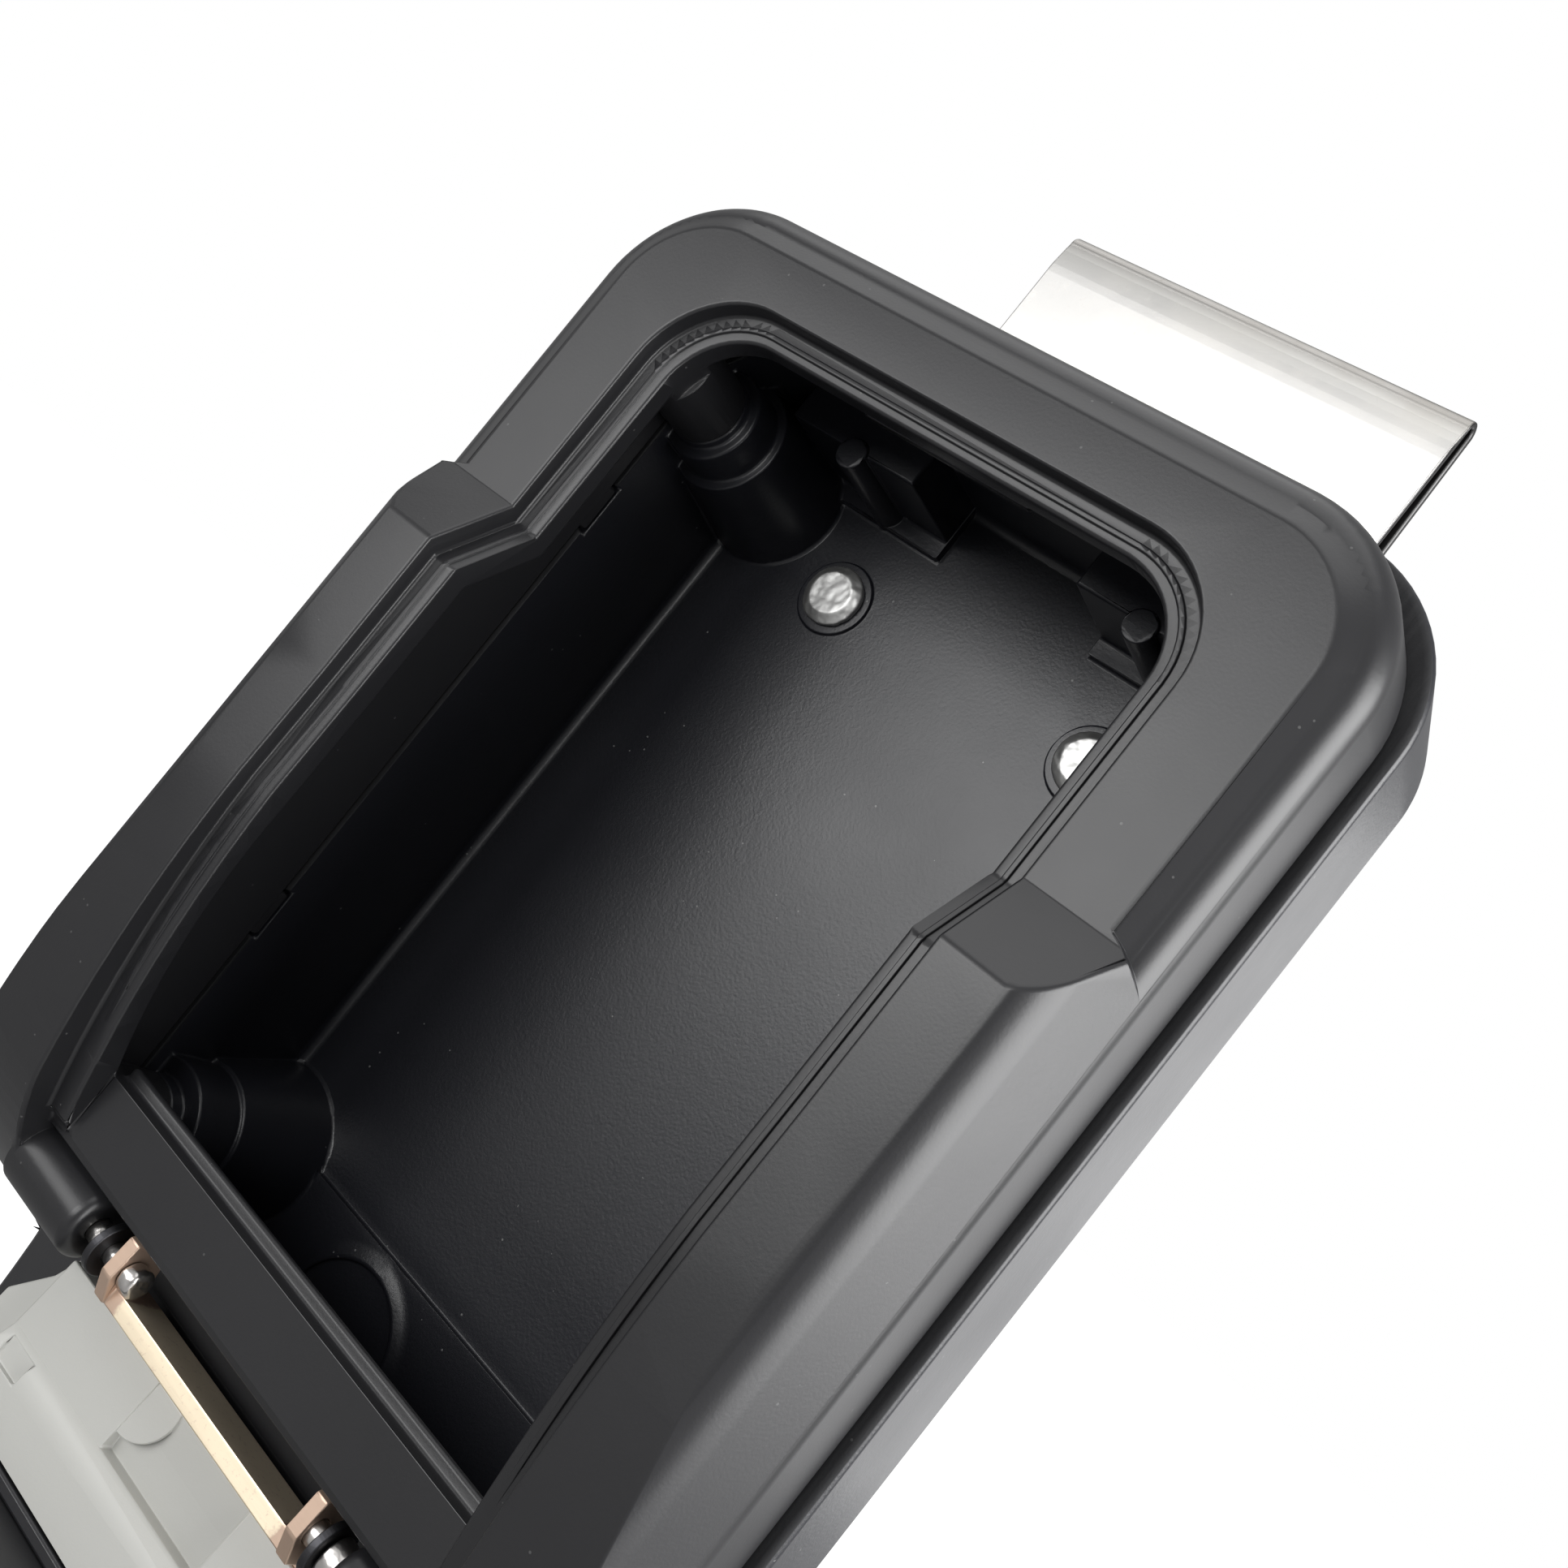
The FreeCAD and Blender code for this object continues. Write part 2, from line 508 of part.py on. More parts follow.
# Pan that closes the inside of the lid
def make_inner_pan():
    flange = slab(SKIRT_HALF - 1.7, -5.8, SKIRT_FOOT + 1.8, 7.5, 1.0, 3.0, SKIRT_Y)
    tub = slab(PAN_HALF, PAN_TOP, SKIRT_FOOT + 1.8, 5.0, 3.0, 3.0, PAN_BACK)
    tub = tub.makeFillet(1.6, edges_near(tub, lambda b: b.YMin > PAN_BACK - 0.01))
    ribs = [box(-22.0, 22.0, PAN_BACK - 1.0, PAN_BACK + 0.5, z - 0.6, z + 0.6) for z in (-58.0, -80.0)]
    pan = fuse([flange, tub] + ribs)
    pan = pan.cut(slab(PAN_HALF - PAN_WALL, PAN_TOP - PAN_WALL, SKIRT_FOOT + 3.6, 3.4, 1.4, 2.0, PAN_BACK - PAN_WALL))
    pan = pan.cut(box(-BOLT_HALF - 0.5, BOLT_HALF + 0.5, BOLT_Y - 0.5, 9.2, PAN_TOP - 3, PAN_TOP + 3))
    for x, z in LID_SCREWS:
        pan = pan.cut(rod_y(x, z, 1.4, 2.0, 6.0))
        pan = pan.cut(rod_y(x, z, 3.3, SKIRT_Y, PAN_BACK + 1))
    pan = pan.cut(rod_y(LEVER_X, LEVER_Z, 1.9, 8.0, PAN_BACK + 1))
    save(pan, "inner_pan", "lid")


def make_cover_screws():
    screws = []
    for x, z in LID_SCREWS:
        shank = rod_y(x, z, 1.1, -3.5, SKIRT_Y)
        head = rod_y(x, z, 2.5, SKIRT_Y, SKIRT_Y + 1.5)
        head = head.makeFillet(0.7, edges_near(head, lambda b: b.YMin > SKIRT_Y + 1.4))
        cross = box(x - 1.5, x + 1.5, SKIRT_Y + 0.7, SKIRT_Y + 2, z - 0.3, z + 0.3)
        cross = cross.fuse(box(x - 0.3, x + 0.3, SKIRT_Y + 0.7, SKIRT_Y + 2, z - 1.5, z + 1.5))
        screws.append(shank.fuse(head).cut(cross))
    save(Part.makeCompound(screws), "pan_screws", "lid")


# Light grey cover over the hinge end of the lid
def make_hinge_cover():
    outline = [(-33.4, -104.8), (33.4, -104.8), (33.4, -113.0), (29.6, -118.0), (28.4, -121.4),
               (-28.4, -121.4), (-29.6, -118.0), (-33.4, -113.0)]
    base = plan_prism(outline, -8.0, 2.2).common(behind(SHELL))
    top = side_prism([(0.0, -103.4), (4.6, -103.4), (4.6, -110.4), (3.7, -112.3), (3.7, -121.4), (0.0, -121.4)], -28.0, 28.0)
    cover = fuse([base, top.common(behind(SHELL))])
    dip = side_prism([(6.0, -112.3), (1.9, -112.5), (2.5, -117.0), (3.25, -121.0), (3.25, -123.0), (6.0, -123.0)], -8.2, 10.4)
    boss = rod_y(-8.2, -119.6, 5.0, 0.0, 3.5).cut(box(-14, -8.2, -1, 6, -126, -110))
    cover = cover.cut(dip).fuse(boss.common(box(-20, 20, 2.9, 5, -121.4, -112.5)))
    web = side_prism([(-9.0, -104.0), (-1.0, -104.0), (0.35, -112.0), (1.65, -117.0), (3.05, -121.0), (3.05, -125.0),
                      (-9.0, -125.0)], -EAR_HALF - 0.2, EAR_HALF + 0.2)
    cover = cover.cut(web)
    for x in (-14.0, 0.0, 14.0):
        cover = cover.cut(rod_y(x, -109.0, 3.0, -5.0, 1.6))
    for side in both_sides(box(21.0, 27.0, -9.0, 3.2, -113.5, -105.0)):
        cover = cover.cut(side)
    notch = side_prism([(4.0, -108.6), (5.5, -108.6), (5.5, -111.6), (4.0, -111.6)], -26.4, -21.6)
    save(cover.cut(notch), "hinge_cover", "lid")


# Folded steel bracket that carries the lid on its pins
def make_hinge_bracket():
    front = [(1.35, -125.0), (1.35, -121.0), (-0.1, -117.0), (-1.4, -112.0), (-2.75, -104.6)]
    back = [(-1.15, -104.6), (0.2, -112.0), (1.5, -117.0), (2.95, -121.0), (2.95, -122.9), (8.0, -122.9), (8.0, -125.0)]
    plate = side_prism(front + back, -EAR_HALF, EAR_HALF)
    parts = [plate]
    ear = [(3.9, -122.9), (8.3, -122.9), (10.3, -125.8), (10.3, -130.3), ((5.9, -130.4), (3.9, -127.0))]
    parts += both_sides(side_prism(ear, EAR_HALF - EAR_THICK, EAR_HALF))
    bracket = fuse(parts)
    for side in both_sides(rod_x(10.0, 24.0, PIN_R + 0.06)):
        bracket = bracket.cut(side)
    for x in (-14.0, 0.0, 14.0):
        bracket = bracket.cut(rod_y(x, -109.0, 1.3, -8.0, 4.0))
    save(bracket, "hinge_bracket", "lid")


def make_bracket_rivets():
    rivets = []
    for x in (-14.0, 0.0, 14.0):
        rivets.append(rod_y(x, -109.0, 1.3, -3.2, 0.6).fuse(rod_y(x, -109.0, 2.5, 0.15, 1.0)))
    save(Part.makeCompound(rivets), "bracket_rivets", "lid")


# Dials, their cams and axle
def make_dials():
    save(rod_x(-22.4, 22.4, AXLE_R, DIAL_Y, DIAL_Z), "dial_axle", "lid")
    for number, x in enumerate(DIALS_X, 1):
        dial = rod_x(x - DIAL_WIDE / 2, x + DIAL_WIDE / 2, DIAL_R, DIAL_Y, DIAL_Z)
        dial = dial.makeChamfer(0.5, edges_near(dial, lambda b: b.XLength < 0.01))
        for step in range(10):
            turn = math.radians(36 * step + 18)
            groove = rod_x(x - 4, x + 4, 0.9, DIAL_Y + (DIAL_R + 0.3) * math.cos(turn), DIAL_Z + (DIAL_R + 0.3) * math.sin(turn))
            dial = dial.cut(groove)
        save(dial.cut(rod_x(x - 4, x + 4, AXLE_R + 0.1, DIAL_Y, DIAL_Z)), "dial_" + str(number), "lid")
        start = x + DIAL_WIDE / 2
        cam = rod_x(start, start + CAM_WIDE, CAM_R, DIAL_Y, DIAL_Z)
        gate = box(start - 1, start + 3, DIAL_Y - 1.9, DIAL_Y + 1.9, DIAL_Z + 3.4, DIAL_Z + 8)
        cam = cam.cut(gate).cut(rod_x(start - 1, start + 3, AXLE_R + 0.1, DIAL_Y, DIAL_Z))
        save(cam, "code_cam_" + str(number), "lid")


def make_detent_spring():
    strip = box(-18.5, 18.5, 9.9, 10.3, -73.0, -69.0)
    comb = [strip]
    for x in DIALS_X:
        comb.append(box(x - 1.6, x + 1.6, 9.9, 10.3, -70.0, -58.0))
        comb.append(rod_x(x - 1.6, x + 1.6, 0.45, 9.85, -60.0))
    save(fuse(comb), "detent_spring", "lid")


# Sliding latch
def make_latch():
    tip = [(BOLT_Y, -0.3), (BOLT_Y + 0.6, -0.3), (12.3, -3.3), (12.3, -8.0), (8.7, -8.0), (8.7, -44.0), (BOLT_Y, -44.0)]
    bolt = side_prism(tip, -BOLT_HALF, BOLT_HALF)
    save(bolt, "latch_bolt", "lid")
    plate = slab(13.0, -8.4, -33.2, 1.5, 1.5, 1.85, 2.95)
    pad = slab(9.0, -13.0, -26.8, 3.0, 3.0, -2.0, 1.85)
    pad = pad.makeFillet(0.8, edges_near(pad, lambda b: b.YMax < -1.99))
    for step in range(4):
        pad = pad.cut(rod_x(-7.0, 7.0, 0.6, -2.2, -16.0 - 2.6 * step))
    post = slab(4.0, -20.0, -26.0, 0.8, 0.8, 2.95, BOLT_Y)
    save(fuse([plate, pad, post]), "release_slider", "lid")
    bar = [box(-27.0, 27.0, -0.9, 2.1, -50.0, -46.4)]
    bar.append(box(-5.0, 5.0, -0.9, BOLT_Y, -48.0, -45.6))
    bar.append(box(-5.0, 5.0, 4.9, BOLT_Y, -48.0, -41.0))
    for x in DIALS_X:
        middle = x + DIAL_WIDE / 2 + CAM_WIDE / 2
        bar.append(box(middle - 0.7, middle + 0.7, -0.9, 2.1, -52.0, -49.5))
    save(fuse(bar), "lock_bar", "lid")


def spring_coil(x):
    """Nine turns joined along one side."""
    turns = [Part.makeTorus(1.85, 0.35, V(x, DIAL_Y, -50.4 - 1.5 * step), V(0, 0, 1)) for step in range(9)]
    tail = rod_z(x + 1.85, DIAL_Y, 0.24, -62.4, -50.4)
    return fuse(turns + [tail])


def make_latch_springs():
    save(Part.makeCompound([spring_coil(-24.9), spring_coil(24.9)]), "latch_springs", "lid")


def make_latch_guide():
    base = slab(20.0, -14.0, -40.0, 1.0, 1.0, 3.25, 4.6)
    rails = both_sides(box(BOLT_HALF + 0.4, 9.0, 4.6, 10.3, -38.0, -14.2))
    feet = both_sides(box(15.0, 20.0, SHELL, 3.3, -31.0, -14.0))
    guide = fuse([base] + rails + feet).cut(box(-4.4, 4.4, 1.0, 6.0, -30.2, -19.2))
    save(guide, "latch_guide", "lid")


def make_code_lever():
    arm = [(LEVER_X - 2.4, LEVER_Z - 2.2), (LEVER_X + 2.4, LEVER_Z - 2.2), (LEVER_X + 1.8, LEVER_Z + 11.5),
           (LEVER_X - 1.8, LEVER_Z + 11.5)]
    lever = plan_prism(arm, PAN_BACK + 0.2, PAN_BACK + 1.6)
    lever = lever.fuse(rod_y(LEVER_X, LEVER_Z, 3.2, PAN_BACK + 0.2, PAN_BACK + 1.6))
    lever = lever.fuse(rod_y(LEVER_X, LEVER_Z + 9.6, 2.0, PAN_BACK + 0.2, PAN_BACK + 3.4))
    lever = lever.fuse(rod_y(LEVER_X, LEVER_Z, 1.5, 8.4, PAN_BACK + 0.3))
    save(lever, "code_lever", "lid")


os.makedirs("parts", exist_ok=True)
make_front_housing()
make_back_housing()
make_seam_seal()
make_case_screws()
make_window_hook()
make_hook_rivets()
make_back_pad()
make_strike()
make_hinge_pins()
make_lid_shell()
make_dial_bezel()
make_inner_pan()
make_cover_screws()
make_hinge_cover()
make_hinge_bracket()
make_bracket_rivets()
make_dials()
make_detent_spring()
make_latch()
make_latch_springs()
make_latch_guide()
make_code_lever()
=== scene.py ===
import bpy
import json
import math
from mathutils import Matrix, Vector
from mathutils.kdtree import KDTree


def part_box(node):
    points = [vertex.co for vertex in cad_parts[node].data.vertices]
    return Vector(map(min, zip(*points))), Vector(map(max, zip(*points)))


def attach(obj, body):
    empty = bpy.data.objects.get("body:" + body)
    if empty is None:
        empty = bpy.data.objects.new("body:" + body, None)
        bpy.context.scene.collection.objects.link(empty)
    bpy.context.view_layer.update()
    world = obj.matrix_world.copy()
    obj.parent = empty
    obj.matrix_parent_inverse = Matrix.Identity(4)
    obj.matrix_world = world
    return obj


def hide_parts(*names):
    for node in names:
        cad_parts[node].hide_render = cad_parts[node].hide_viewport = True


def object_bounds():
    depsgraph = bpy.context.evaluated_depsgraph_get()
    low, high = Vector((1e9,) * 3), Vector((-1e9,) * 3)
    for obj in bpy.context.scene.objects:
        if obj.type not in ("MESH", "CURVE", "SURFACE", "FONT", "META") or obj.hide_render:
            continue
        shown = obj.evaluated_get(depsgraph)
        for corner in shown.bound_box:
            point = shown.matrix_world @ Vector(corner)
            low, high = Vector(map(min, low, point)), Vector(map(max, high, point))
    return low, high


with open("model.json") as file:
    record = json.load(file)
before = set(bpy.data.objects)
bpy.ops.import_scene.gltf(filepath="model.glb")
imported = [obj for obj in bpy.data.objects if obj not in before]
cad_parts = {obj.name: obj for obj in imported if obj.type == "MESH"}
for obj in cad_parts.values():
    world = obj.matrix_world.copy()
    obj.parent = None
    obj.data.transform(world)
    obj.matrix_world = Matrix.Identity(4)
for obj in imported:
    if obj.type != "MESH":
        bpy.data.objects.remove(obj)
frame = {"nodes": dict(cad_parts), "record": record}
CAD_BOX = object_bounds()

bl_info = {
    "name": "Car key lockbox",
    "version": (1, 0, 0),
    "blender": (4, 5, 0),
    "location": "View3D > Sidebar > Lockbox",
    "description": "Builds the visible pieces and finishes of a lockbox that hangs over a car window",
    "category": "Object",
}

PHOTO_SIZE = 1932
FOCAL_PIXELS = 2000.0
LID_OPEN = 172.0
HOOK_HALF = 0.0303
HOOK_SPREAD = 0.06


# Settings
class LockboxFinish(bpy.types.PropertyGroup):
    front_colour: bpy.props.FloatVectorProperty(
        name="Front ring", description="Colour of the moulded ring round the lid",
        subtype="COLOR", size=3, min=0.0, max=1.0, default=(0.013, 0.013, 0.0145))
    cast_colour: bpy.props.FloatVectorProperty(
        name="Cast tub", description="Colour of the painted casting behind the ring",
        subtype="COLOR", size=3, min=0.0, max=1.0, default=(0.010, 0.0105, 0.014))
    cover_colour: bpy.props.FloatVectorProperty(
        name="Hinge cover", description="Colour of the light moulding at the hinge end of the lid",
        subtype="COLOR", size=3, min=0.0, max=1.0, default=(0.47, 0.47, 0.445))
    hook_colour: bpy.props.FloatVectorProperty(
        name="Hook", description="Colour of the stainless sheet",
        subtype="COLOR", size=3, min=0.0, max=1.0, default=(0.80, 0.79, 0.77))
    plate_colour: bpy.props.FloatVectorProperty(
        name="Bracket plating", description="Colour of the plated hinge bracket",
        subtype="COLOR", size=3, min=0.0, max=1.0, default=(0.95, 0.82, 0.62))
    cut_colour: bpy.props.FloatVectorProperty(
        name="Bracket ends", description="Colour of the bracket's bent ends and cut edges",
        subtype="COLOR", size=3, min=0.0, max=1.0, default=(0.52, 0.36, 0.28))


class LockboxStudio(bpy.types.PropertyGroup):
    world_strength: bpy.props.FloatProperty(
        name="World", description="Strength of the even studio light", default=0.14, min=0.0, max=2.0)
    mirror_strength: bpy.props.FloatProperty(
        name="Reflected white", description="How much of the white surroundings shows in reflections",
        default=0.42, min=0.0, max=1.0)
    left_power: bpy.props.FloatProperty(
        name="Left lamp", description="Power of the soft box in front, to the left", default=0.75, min=0.0)
    right_power: bpy.props.FloatProperty(
        name="Right lamp", description="Power of the brighter soft box beside it", default=1.6, min=0.0)
    ridge_power: bpy.props.FloatProperty(
        name="Ridge lamp", description="Power of the soft box that lights the rounded ridges", default=1.4, min=0.0)
    top_power: bpy.props.FloatProperty(
        name="Top lamp", description="Power of the large soft box overhead", default=2.6, min=0.0)
    side_power: bpy.props.FloatProperty(
        name="Side lamp", description="Power of the soft box to the right", default=9.0, min=0.0)
    rear_power: bpy.props.FloatProperty(
        name="Rear lamp", description="Power of the soft box behind, to the right", default=0.9, min=0.0)
    floor_drop: bpy.props.FloatProperty(
        name="Floor drop", description="Gap between the object's lowest point and the floor",
        default=0.02, unit="LENGTH", min=0.0)


# Shader groups
def new_group(name, inputs, outputs):
    """Empty node group with the given sockets: (name, kind, default)."""
    group = bpy.data.node_groups.new(name, "ShaderNodeTree")
    for label, kind, value in inputs:
        socket = group.interface.new_socket(label, in_out="INPUT", socket_type=kind)
        socket.default_value = value
    for label, kind in outputs:
        group.interface.new_socket(label, in_out="OUTPUT", socket_type=kind)
    start = group.nodes.new("NodeGroupInput")
    end = group.nodes.new("NodeGroupOutput")
    return group, start, end


def node(tree, kind, settings=None, **values):
    made = tree.nodes.new(kind)
    for key, value in (settings or {}).items():
        setattr(made, key, value)
    for key, value in values.items():
        made.inputs[key.replace("_", " ")].default_value = value
    return made


def noise(tree, place, scale, detail=3.0, roughness=0.5):
    made = node(tree, "ShaderNodeTexNoise", Scale=scale, Detail=detail, Roughness=roughness)
    tree.links.new(place, made.inputs["Vector"])
    return made.outputs["Fac"]


def maths(tree, operation, a, b=None, c=None):
    made = tree.nodes.new("ShaderNodeMath")
    made.operation = operation
    for index, value in enumerate((a, b, c)):
        if value is None:
            continue
        if isinstance(value, (int, float)):
            made.inputs[index].default_value = value
        else:
            tree.links.new(value, made.inputs[index])
    return made.outputs[0]


def ramp(tree, fac, stops):
    made = tree.nodes.new("ShaderNodeValToRGB")
    points = made.color_ramp.elements
    while len(points) < len(stops):
        points.new(0.5)
    for element, (where, shade) in zip(points, stops):
        element.position = where
        element.color = shade if len(shade) == 4 else (*shade, 1.0)
    tree.links.new(fac, made.inputs["Fac"])
    return made.outputs["Color"]


def build_groups():
    """Grain, wear and dust that several finishes share."""
    # Fine moulded or painted grain: height, and roughness that varies with it
    group, start, end = new_group("surface_grain", [
        ("Fine Size", "NodeSocketFloat", 3000.0), ("Coarse Size", "NodeSocketFloat", 400.0),
        ("Coarse Share", "NodeSocketFloat", 0.4), ("Base Roughness", "NodeSocketFloat", 0.5),
        ("Roughness Spread", "NodeSocketFloat", 0.08)], [("Height", "NodeSocketFloat"), ("Roughness", "NodeSocketFloat")])
    place = node(group, "ShaderNodeTexCoord").outputs["Object"]
    fine = node(group, "ShaderNodeTexNoise", Detail=2.0, Roughness=0.6)
    coarse = node(group, "ShaderNodeTexNoise", Detail=3.0, Roughness=0.55)
    broad = node(group, "ShaderNodeTexNoise", Scale=28.0, Detail=4.0, Roughness=0.6)
    for texture in (fine, coarse, broad):
        group.links.new(place, texture.inputs["Vector"])
    group.links.new(start.outputs["Fine Size"], fine.inputs["Scale"])
    group.links.new(start.outputs["Coarse Size"], coarse.inputs["Scale"])
    share = maths(group, "MULTIPLY", coarse.outputs["Fac"], start.outputs["Coarse Share"])
    group.links.new(maths(group, "ADD", fine.outputs["Fac"], share), end.inputs["Height"])
    drift = maths(group, "MULTIPLY", maths(group, "SUBTRACT", broad.outputs["Fac"], 0.5), start.outputs["Roughness Spread"])
    group.links.new(maths(group, "ADD", start.outputs["Base Roughness"], maths(group, "MULTIPLY", drift, 2.0)), end.inputs["Roughness"])

    # Slight unevenness of colour, with pale dust specks
    group, start, end = new_group("tone_and_dust", [
        ("Colour", "NodeSocketColor", (0.1, 0.1, 0.1, 1.0)), ("Spread", "NodeSocketFloat", 0.15),
        ("Dust", "NodeSocketFloat", 0.2), ("Dust Colour", "NodeSocketColor", (0.45, 0.45, 0.44, 1.0))],
        [("Colour", "NodeSocketColor")])
    place = node(group, "ShaderNodeTexCoord").outputs["Object"]
    broad = noise(group, place, 35.0, 5.0, 0.6)
    swing = maths(group, "MULTIPLY_ADD", maths(group, "SUBTRACT", broad, 0.5), start.outputs["Spread"], 1.0)
    scaled = node(group, "ShaderNodeVectorMath", {"operation": "SCALE"})
    group.links.new(start.outputs["Colour"], scaled.inputs[0])
    group.links.new(swing, scaled.inputs["Scale"])
    cells = node(group, "ShaderNodeTexVoronoi", Scale=420.0)
    group.links.new(place, cells.inputs["Vector"])
    speck = maths(group, "LESS_THAN", cells.outputs["Distance"], 0.06)
    patch = maths(group, "GREATER_THAN", noise(group, place, 90.0, 2.0, 0.5), 0.56)
    amount = maths(group, "MULTIPLY", maths(group, "MULTIPLY", speck, patch), start.outputs["Dust"])
    mix = node(group, "ShaderNodeMix", {"data_type": "RGBA"})
    group.links.new(amount, mix.inputs["Factor"])
    group.links.new(scaled.outputs["Vector"], mix.inputs["A"])
    group.links.new(start.outputs["Dust Colour"], mix.inputs["B"])
    group.links.new(mix.outputs["Result"], end.inputs["Colour"])

    # Long fine brush lines along one axis
    group, start, end = new_group("brush_lines", [
        ("Stretch", "NodeSocketVector", (1.0, 60.0, 60.0)), ("Size", "NodeSocketFloat", 60.0)],
        [("Height", "NodeSocketFloat")])
    place = node(group, "ShaderNodeTexCoord").outputs["Object"]
    stretched = node(group, "ShaderNodeVectorMath", {"operation": "MULTIPLY"})
    group.links.new(place, stretched.inputs[0])
    group.links.new(start.outputs["Stretch"], stretched.inputs[1])
    lines = node(group, "ShaderNodeTexNoise", Detail=4.0, Roughness=0.65)
    group.links.new(stretched.outputs["Vector"], lines.inputs["Vector"])
    group.links.new(start.outputs["Size"], lines.inputs["Scale"])
    group.links.new(lines.outputs["Fac"], end.inputs["Height"])


def place_group(tree, name, **values):
    made = tree.nodes.new("ShaderNodeGroup")
    made.node_tree = bpy.data.node_groups[name]
    for key, value in values.items():
        made.inputs[key.replace("_", " ")].default_value = value
    return made


def finish_material(name, colour, roughness, metallic=0.0, coat=0.0, sheen=0.0, specular=0.5):
    """Material with its Principled shader and the sockets that never vary."""
    made = bpy.data.materials.new(name)
    made.use_nodes = True
    tree = made.node_tree
    shader = tree.nodes["Principled BSDF"]
    shader.inputs["Base Color"].default_value = (*colour, 1.0)
    shader.inputs["Roughness"].default_value = roughness
    shader.inputs["Metallic"].default_value = metallic
    shader.inputs["Coat Weight"].default_value = coat
    shader.inputs["Sheen Weight"].default_value = sheen
    shader.inputs["Specular IOR Level"].default_value = specular
    return made, tree, shader


def bumped(tree, shader, height, strength, distance):
    bump = node(tree, "ShaderNodeBump", Strength=strength, Distance=distance)
    tree.links.new(height, bump.inputs["Height"])
    tree.links.new(bump.outputs["Normal"], shader.inputs["Normal"])


def moulded(name, colour, roughness, fine=2600.0, coarse=420.0, share=0.4, depth=0.00004, strength=0.25,
            spread=0.15, dust=0.15, **sockets):
    """Plastic or paint: grain in the surface, uneven tone and a little dust."""
    made, tree, shader = finish_material(name, colour, roughness, **sockets)
    grain = place_group(tree, "surface_grain", Fine_Size=fine, Coarse_Size=coarse, Coarse_Share=share,
                        Base_Roughness=roughness)
    tone = place_group(tree, "tone_and_dust", Colour=(*colour, 1.0), Spread=spread, Dust=dust)
    tree.links.new(tone.outputs["Colour"], shader.inputs["Base Color"])
    tree.links.new(grain.outputs["Roughness"], shader.inputs["Roughness"])
    bumped(tree, shader, grain.outputs["Height"], strength, depth)
    return made


def brushed(name, colour, roughness, stretch, size=60.0, strength=0.2, spread=0.12, dust=0.05):
    """Sheet or turned metal with fine lines along one axis."""
    made, tree, shader = finish_material(name, colour, roughness, metallic=1.0)
    lines = place_group(tree, "brush_lines", Stretch=stretch, Size=size)
    grain = place_group(tree, "surface_grain", Fine_Size=900.0, Coarse_Size=120.0, Base_Roughness=roughness,
                        Roughness_Spread=0.12)
    tone = place_group(tree, "tone_and_dust", Colour=(*colour, 1.0), Spread=spread, Dust=dust)
    tree.links.new(tone.outputs["Colour"], shader.inputs["Base Color"])
    tree.links.new(grain.outputs["Roughness"], shader.inputs["Roughness"])
    bumped(tree, shader, lines.outputs["Height"], strength, 0.00003)
    return made


def dress(names, material):
    """Gives CAD nodes their finish."""
    for name in names:
        mesh = frame["nodes"][name].data
        mesh.materials.clear()
        mesh.materials.append(material)


def clear_selection():
    if bpy.context.object and bpy.context.object.mode != "OBJECT":
        bpy.ops.object.mode_set(mode="OBJECT")
    bpy.ops.object.select_all(action="DESELECT")


def pick(piece):
    """Makes one object the selected and active one."""
    clear_selection()
    piece.select_set(True)
    bpy.context.view_layer.objects.active = piece


def edge_chains(mesh, sharp):
    """Sharp edges grouped into lines that carry on without a corner."""
    points = [v.co for v in mesh.vertices]
    faces = {}
    for face in mesh.polygons:
        for key in face.edge_keys:
            faces.setdefault(key, []).append(face.normal)
    keys = [tuple(edge.vertices) for edge in mesh.edges]
    picked = [index for index, key in enumerate(keys)
              if len(faces.get(tuple(sorted(key)), ())) == 2 and faces[tuple(sorted(key))][0].angle(faces[tuple(sorted(key))][1], 0.0) > sharp]
    ends = {}
    for index in picked:
        for end in keys[index]:
            ends.setdefault(end, []).append(index)
    chain_of, chains = {}, []
    for start in picked:
        if start in chain_of:
            continue
        chain, waiting = [], [start]
        chain_of[start] = len(chains)
        while waiting:
            index = waiting.pop()
            chain.append(index)
            for end in keys[index]:
                other = keys[index][0] + keys[index][1] - end
                here = (points[end] - points[other]).normalized()
                for following in ends[end]:
                    if following in chain_of:
                        continue
                    beyond = keys[following][0] + keys[following][1] - end
                    if here.dot((points[beyond] - points[end]).normalized()) > 0.8:
                        chain_of[following] = len(chains)
                        waiting.append(following)
        chains.append(chain)
    return points, keys, chains


def edge_widths(mesh, width, sharp):
    """Share of the full width each sharp edge can take before it meets a neighbour that runs beside it."""
    points, keys, chains = edge_chains(mesh, sharp)
    samples = []
    for number, chain in enumerate(chains):
        for index in chain:
            start, end = (points[v] for v in keys[index])
            count = max(1, min(40, int((end - start).length / 0.0015)))
            way = (end - start).normalized()
            for step in range(count):
                samples.append((start.lerp(end, (step + 0.5) / count), way, number))
    tree = KDTree(len(samples))
    for index, sample in enumerate(samples):
        tree.insert(sample[0], index)
    tree.balance()
    room = [width / 0.42] * len(chains)
    for spot, way, number in samples:
        for _, index, gap in tree.find_range(spot, room[number]):
            if samples[index][2] != number and abs(samples[index][1].dot(way)) > 0.8:
                room[number] = min(room[number], gap)
    shares = {}
    for number, chain in enumerate(chains):
        for index in chain:
            shares[index] = min(1.0, 0.42 * room[number] / width)
    return shares


def body_of(node_name):
    for body, names in frame["record"]["behaviour"]["bodies"].items():
        if node_name in names:
            return body


